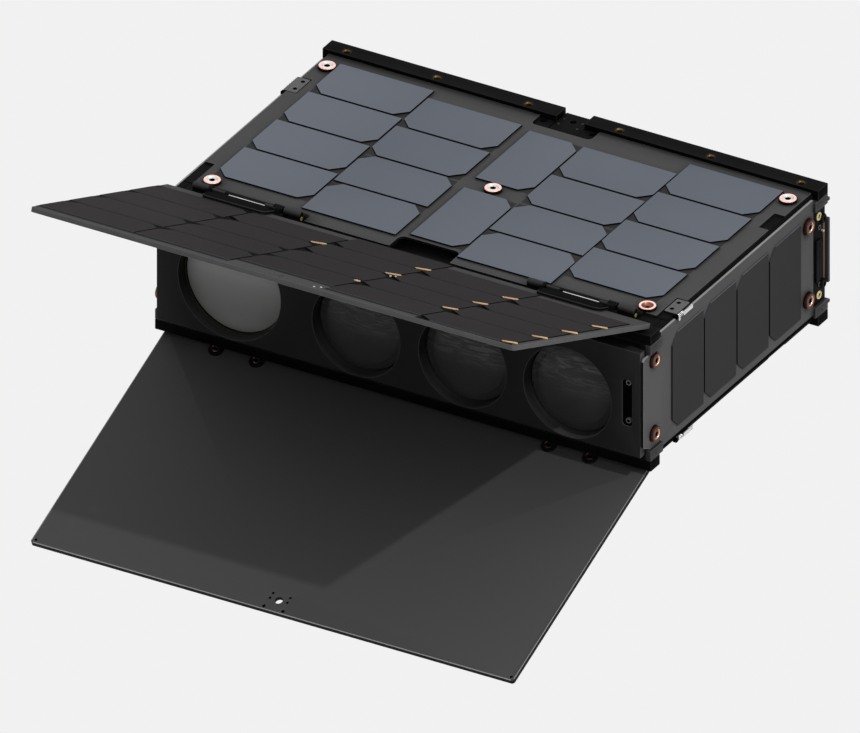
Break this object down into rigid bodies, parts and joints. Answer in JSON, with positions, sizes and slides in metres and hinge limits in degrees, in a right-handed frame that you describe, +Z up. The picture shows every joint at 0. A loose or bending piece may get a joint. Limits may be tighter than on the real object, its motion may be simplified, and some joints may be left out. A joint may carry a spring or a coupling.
{
  "type": "small satellite",
  "caption": "Flat box satellite with round apertures in its front and two solar flaps on spring hinges",
  "frame": {"origin": "the centre of the body, midway between the rails", "axes": "X along the long side, -Y where the apertures look, +Z up out of the top solar panel"},
  "size_m": [0.3664, 0.3968, 0.2496],
  "materials": {
    "black_anodised": "black anodised, satin",
    "grey_frame": "dark grey hard anodised",
    "panel_board": "dark grey circuit board with blue-grey cells",
    "lens_glass": "dark coated optical glass",
    "spring_steel": "bright spring steel",
    "avionics": "plain, closed inside"
  },
  "bodies": {
    "bus": {"rear_top_rail_left": "black_anodised", "rear_top_rail_right": "black_anodised", "rear_bottom_rail_left": "black_anodised", "rear_bottom_rail_right": "black_anodised", "front_top_rail": "black_anodised", "front_bottom_rail": "black_anodised", "front_housing": "black_anodised", "lens_barrel_1": "black_anodised", "lens_barrel_2": "black_anodised", "lens_barrel_3": "black_anodised", "lens_barrel_4": "black_anodised", "top_hold_down": "black_anodised", "bottom_hold_down": "black_anodised", "left_end_port": "black_anodised", "right_end_port": "black_anodised", "upper_left_hinge_base": "black_anodised", "upper_right_hinge_base": "black_anodised", "lower_left_hinge_base": "black_anodised", "lower_right_hinge_base": "black_anodised", "left_end_frame": "grey_frame", "right_end_frame": "grey_frame", "rear_panel": "grey_frame", "top_panel": "panel_board", "bottom_panel": "panel_board", "left_end_panel": "panel_board", "right_end_panel": "panel_board", "lens_glass_1": "lens_glass", "lens_glass_2": "lens_glass", "lens_glass_3": "lens_glass", "lens_glass_4": "lens_glass", "top_right_clip": "spring_steel", "top_left_clip": "spring_steel", "bottom_right_clip": "spring_steel", "bottom_left_clip": "spring_steel", "avionics_stack": "avionics"},
    "upper_flap_body": {"upper_flap": "panel_board", "upper_left_hinge_leaf": "black_anodised", "upper_right_hinge_leaf": "black_anodised"},
    "lower_flap_body": {"lower_flap": "panel_board", "lower_left_hinge_leaf": "black_anodised", "lower_right_hinge_leaf": "black_anodised"}
  },
  "joints": [
    {"name": "upper_flap_hinge", "type": "hinge", "parent": "bus", "child": "upper_flap_body", "pos_m": [0, -0.095, 0.0529], "axis": [-1, 0, 0], "range_deg": [0, 158], "stiffness_Nm_per_rad": 0.5, "springref_deg": -85.94},
    {"name": "lower_flap_hinge", "type": "hinge", "parent": "bus", "child": "lower_flap_body", "pos_m": [0, -0.095, -0.0529], "axis": [1, 0, 0], "range_deg": [0, 158], "stiffness_Nm_per_rad": 0.5, "springref_deg": -85.94}
  ]
}
